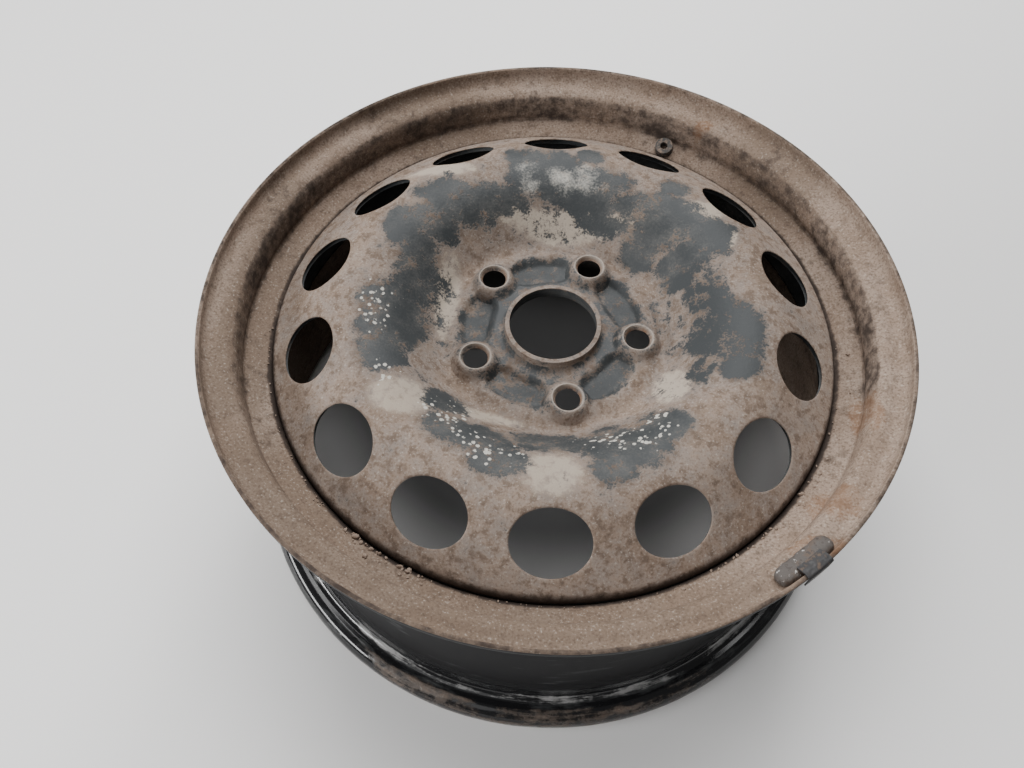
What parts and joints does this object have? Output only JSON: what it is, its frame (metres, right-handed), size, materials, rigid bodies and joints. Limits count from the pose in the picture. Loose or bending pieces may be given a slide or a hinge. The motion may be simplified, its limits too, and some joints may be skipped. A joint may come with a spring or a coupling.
{
  "type": "steel wheel",
  "caption": "Pressed steel car wheel: rolled rim with a welded, vented disc, bolt bosses round a centre bore, cut valve stub and a clip-on balance weight.",
  "frame": {"origin": "on the wheel's axis, in the plane of the inboard flange edge that it rests on", "axes": "+Z along the wheel's axis towards the outboard face; the near side of the picture is -Y"},
  "size_m": [0.4406, 0.4404, 0.1923],
  "materials": {
    "rim_paint": "old black paint under dried brown-grey road dirt, worn and rusty at the lips",
    "disc_paint": "old blue-black paint under dried brown-grey road dirt, patchy round the hub",
    "weld_metal": "painted weld bead",
    "valve_rubber": "dusty grey-black rubber",
    "weight_zinc": "dull grey metal with dirt and chipped coating",
    "clip_steel": "dark blued spring steel"
  },
  "bodies": {
    "root": {"rim": "rim_paint", "disc": "disc_paint", "weld_beads": "weld_metal", "valve_stub": "valve_rubber", "balance_weight": "weight_zinc", "balance_weight_clip": "clip_steel"}
  },
  "joints": []
}
